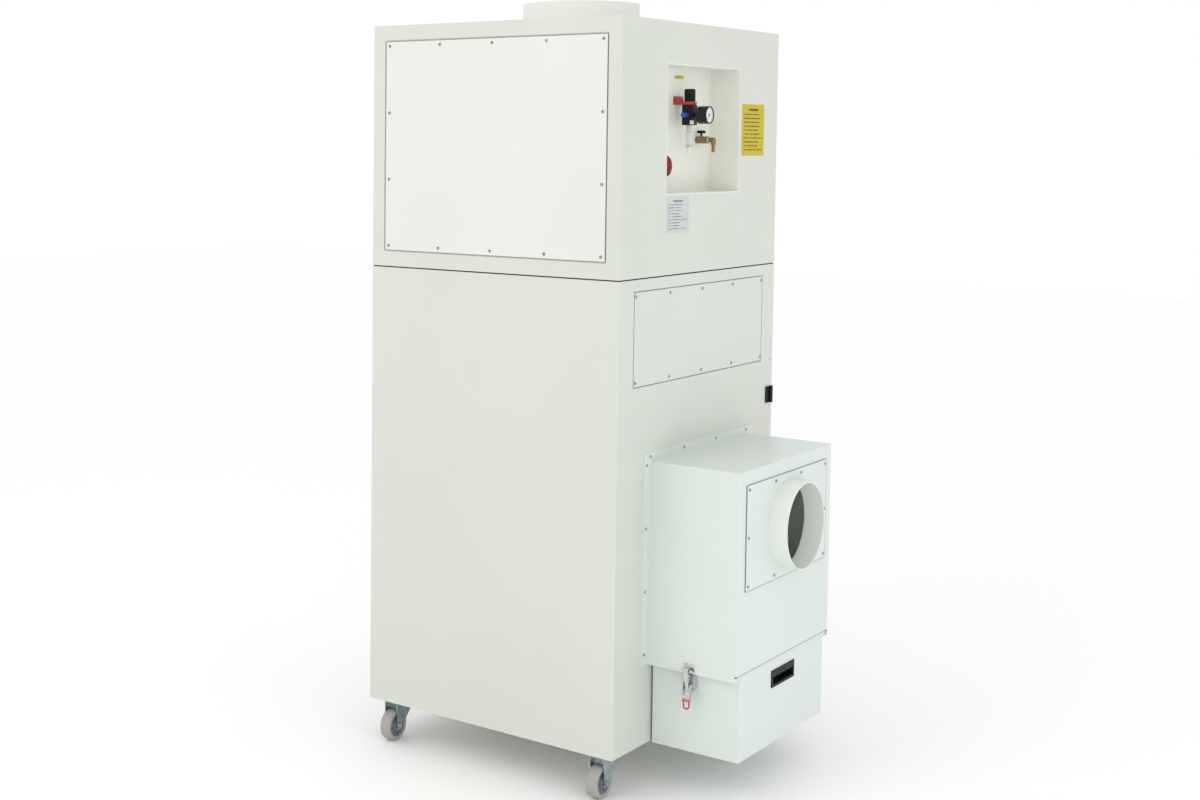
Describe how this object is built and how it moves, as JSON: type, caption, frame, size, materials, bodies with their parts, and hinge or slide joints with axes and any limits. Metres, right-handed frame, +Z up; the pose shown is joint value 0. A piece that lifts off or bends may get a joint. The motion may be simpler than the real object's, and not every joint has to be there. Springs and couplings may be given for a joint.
{
  "type": "dust collector",
  "caption": "Tall sheet-metal dust collector on swivel castors with a side inlet box, round duct collars, a latched pull-out dust bin, a hinged filter door and a control niche.",
  "frame": {"origin": "on the floor, under the middle of the overall box", "axes": "+Z up, -X towards the inlet box, -Y towards the filter door, +Y towards the fan access panel"},
  "size_m": [0.962, 0.8108, 1.815],
  "materials": {
    "cabinet_paint": "warm off-white powder coat with a fine orange peel",
    "box_paint": "slightly cooler off-white powder coat",
    "zinc": "bright zinc plating",
    "wheel": "grey rubber tread on a grey moulded hub",
    "foam": "black closed-cell foam",
    "black_plastic": "fine-textured black moulding",
    "red_bracket": "red painted plate and ring",
    "clear_bowl": "clear moulded bowl",
    "gauge_case": "brushed case with a printed dial",
    "needle_black": "black enamel",
    "blue_fitting": "blue moulding",
    "brass": "nickel-washed brass",
    "stop_red": "polished red moulding",
    "start_green": "polished green moulding",
    "lamp": "translucent red lens",
    "label": "printed film",
    "filter_media": "pleated spun polyester",
    "tank": "drawn shell with grey paint",
    "motor": "finned frame with blue-grey paint",
    "fan_steel": "riveted sheet wheel"
  },
  "bodies": {
    "cabinet": {"lower_wrap": "cabinet_paint", "base_pan": "cabinet_paint", "door_frame": "cabinet_paint", "seam_gasket": "foam", "upper_wrap": "cabinet_paint", "top_panel": "cabinet_paint", "exhaust_collar": "box_paint", "rear_panel": "cabinet_paint", "plenum_panel": "cabinet_paint", "cover_screws": "zinc", "inlet_box": "box_paint", "inlet_baffle": "box_paint", "inlet_collar": "box_paint", "latch_keepers": "zinc", "caster_plates": "zinc", "hinge_leaves": "black_plastic", "service_niche": "cabinet_paint", "regulator_body": "black_plastic", "regulator_bracket": "red_bracket", "regulator_ring": "red_bracket", "filter_bowl": "clear_bowl", "pressure_gauge": "gauge_case", "push_fitting": "blue_fitting", "ball_valve": "brass", "button_bezels": "black_plastic", "pilot_lamp": "lamp", "cable_gland": "black_plastic", "labels": "label", "tube_sheet": "cabinet_paint", "filter_cartridges": "filter_media", "dust_tray": "zinc", "pulse_tank": "tank", "fan_deck": "cabinet_paint", "fan_motor": "motor"},
    "bin": {"dust_bin": "box_paint", "bin_pull": "black_plastic", "latch_bases": "zinc"},
    "door": {"front_door": "cabinet_paint", "door_seal": "foam", "hinge_knuckles": "black_plastic"},
    "caster_1": {"caster_fork_1": "zinc"},
    "wheel_1": {"caster_wheel_1": "wheel"},
    "caster_2": {"caster_fork_2": "zinc"},
    "wheel_2": {"caster_wheel_2": "wheel"},
    "caster_3": {"caster_fork_3": "zinc"},
    "wheel_3": {"caster_wheel_3": "wheel"},
    "caster_4": {"caster_fork_4": "zinc"},
    "wheel_4": {"caster_wheel_4": "wheel"},
    "knob_1": {"door_knob_1": "black_plastic"},
    "knob_2": {"door_knob_2": "black_plastic"},
    "lever_1": {"latch_lever_1": "zinc"},
    "hook_1": {"latch_hook_1": "zinc"},
    "lever_2": {"latch_lever_2": "zinc"},
    "hook_2": {"latch_hook_2": "zinc"},
    "pressure_knob": {"regulator_knob": "black_plastic"},
    "needle": {"gauge_needle": "needle_black"},
    "air_lever": {"valve_lever": "black_plastic"},
    "stop": {"stop_button": "stop_red"},
    "start": {"start_button": "start_green"},
    "fan": {"impeller": "fan_steel"}
  },
  "joints": [
    {"name": "caster_swivel_1", "type": "hinge", "parent": "cabinet", "child": "caster_1", "pos_m": [-0.158, 0.3379, 0.096], "axis": [0, 0, 1], "continuous": true},
    {"name": "wheel_spin_1", "type": "hinge", "parent": "caster_1", "child": "wheel_1", "pos_m": [-0.158, 0.3679, 0.0375], "axis": [1, 0, 0], "continuous": true},
    {"name": "caster_swivel_2", "type": "hinge", "parent": "cabinet", "child": "caster_2", "pos_m": [-0.158, -0.3161, 0.096], "axis": [0, 0, 1], "continuous": true},
    {"name": "wheel_spin_2", "type": "hinge", "parent": "caster_2", "child": "wheel_2", "pos_m": [-0.158, -0.2861, 0.0375], "axis": [1, 0, 0], "continuous": true},
    {"name": "caster_swivel_3", "type": "hinge", "parent": "cabinet", "child": "caster_3", "pos_m": [0.43, 0.3379, 0.096], "axis": [0, 0, 1], "continuous": true},
    {"name": "wheel_spin_3", "type": "hinge", "parent": "caster_3", "child": "wheel_3", "pos_m": [0.43, 0.3679, 0.0375], "axis": [1, 0, 0], "continuous": true},
    {"name": "caster_swivel_4", "type": "hinge", "parent": "cabinet", "child": "caster_4", "pos_m": [0.43, -0.3161, 0.096], "axis": [0, 0, 1], "continuous": true},
    {"name": "wheel_spin_4", "type": "hinge", "parent": "caster_4", "child": "wheel_4", "pos_m": [0.43, -0.2861, 0.0375], "axis": [1, 0, 0], "continuous": true},
    {"name": "door_hinge", "type": "hinge", "parent": "cabinet", "child": "door", "pos_m": [-0.2145, -0.3591, 0.533], "axis": [0, 0, -1], "range_deg": [0, 120]},
    {"name": "door_knob_turn_1", "type": "hinge", "parent": "door", "child": "knob_1", "pos_m": [0.455, -0.3921, 0.313], "axis": [0, -1, 0], "continuous": true},
    {"name": "door_knob_turn_2", "type": "hinge", "parent": "door", "child": "knob_2", "pos_m": [0.455, -0.3921, 0.713], "axis": [0, -1, 0], "continuous": true},
    {"name": "bin_slide", "type": "slide", "parent": "cabinet", "child": "bin", "axis": [-1, 0, 0], "range_m": [0, 0.2]},
    {"name": "latch_lever_turn_1", "type": "hinge", "parent": "bin", "child": "lever_1", "pos_m": [-0.317, 0.2569, 0.261], "axis": [1, 0, 0], "range_deg": [0, 90]},
    {"name": "latch_hook_turn_1", "type": "hinge", "parent": "lever_1", "child": "hook_1", "pos_m": [-0.317, 0.25499, 0.25017], "axis": [1, 0, 0], "range_deg": [-75, 0]},
    {"name": "latch_lever_turn_2", "type": "hinge", "parent": "bin", "child": "lever_2", "pos_m": [-0.317, -0.2411, 0.261], "axis": [-1, 0, 0], "range_deg": [0, 90]},
    {"name": "latch_hook_turn_2", "type": "hinge", "parent": "lever_2", "child": "hook_2", "pos_m": [-0.317, -0.23919, 0.25017], "axis": [-1, 0, 0], "range_deg": [-75, 0]},
    {"name": "regulator_knob_turn", "type": "hinge", "parent": "cabinet", "child": "pressure_knob", "pos_m": [-0.163, 0.0029, 1.593], "axis": [0, 0, 1], "continuous": true},
    {"name": "gauge_needle_turn", "type": "hinge", "parent": "cabinet", "child": "needle", "pos_m": [-0.215, 0.0029, 1.543], "axis": [1, 0, 0], "range_deg": [0, 270], "stiffness_Nm_per_rad": 0.001},
    {"name": "valve_lever_turn", "type": "hinge", "parent": "cabinet", "child": "air_lever", "pos_m": [-0.1435, -0.0951, 1.5005], "axis": [0, 0, 1], "range_deg": [0, 90]},
    {"name": "stop_push", "type": "slide", "parent": "cabinet", "child": "stop", "axis": [1, 0, 0], "range_m": [0, 0.005], "stiffness_N_per_m": 900},
    {"name": "start_push", "type": "slide", "parent": "cabinet", "child": "start", "axis": [1, 0, 0], "range_m": [0, 0.003], "stiffness_N_per_m": 600},
    {"name": "fan_spin", "type": "hinge", "parent": "cabinet", "child": "fan", "pos_m": [0.136, 0.0109, 1.29], "axis": [0, 0, 1], "continuous": true}
  ],
  "couplings": [
    {"joint": "latch_hook_turn_1", "follows": "latch_lever_turn_1", "ratio": -0.83},
    {"joint": "latch_hook_turn_2", "follows": "latch_lever_turn_2", "ratio": -0.83}
  ]
}
